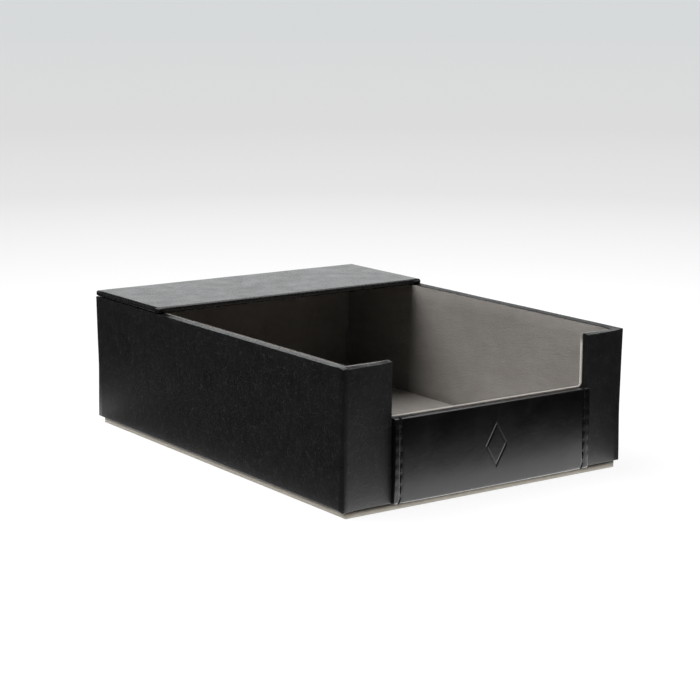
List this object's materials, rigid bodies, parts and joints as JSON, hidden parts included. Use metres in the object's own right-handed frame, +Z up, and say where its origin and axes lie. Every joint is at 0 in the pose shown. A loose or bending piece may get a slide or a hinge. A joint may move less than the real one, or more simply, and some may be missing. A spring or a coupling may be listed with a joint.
{
  "type": "card deck box",
  "caption": "Open leather-covered card deck box with suede lining, a front thumb notch over a stitched panel, and a cover strip across the rear of its top.",
  "frame": {"origin": "centre of the bounding box at the underside of the base pad", "axes": "+X to the right as seen from the front, +Y to the rear, where the cover strip is, +Z up"},
  "size_m": [0.1186, 0.1656, 0.0516],
  "materials": {
    "grey_board": "matte",
    "black_leather": "semi-gloss, fine grain",
    "taupe_suede": "matte, short nap",
    "black_thread": "waxed, low sheen"
  },
  "bodies": {
    "root": {"floor_board": "grey_board", "left_wall_board": "grey_board", "right_wall_board": "grey_board", "rear_wall_board": "grey_board", "front_wall_board": "grey_board", "body_leather": "black_leather", "infill_card": "grey_board", "base_pad_board": "grey_board", "base_pad_suede": "taupe_suede", "left_liner_board": "grey_board", "left_liner_suede": "taupe_suede", "right_liner_board": "grey_board", "right_liner_suede": "taupe_suede", "rear_liner_board": "grey_board", "rear_liner_suede": "taupe_suede", "front_liner_board": "grey_board", "front_liner_suede": "taupe_suede", "floor_liner_board": "grey_board", "floor_liner_suede": "taupe_suede", "cover_board": "grey_board", "cover_lining": "taupe_suede", "cover_leather": "black_leather", "panel_backing": "black_leather", "panel_board": "grey_board", "panel_leather": "black_leather", "panel_stitches_left": "black_thread", "panel_stitches_right": "black_thread"}
  },
  "joints": []
}
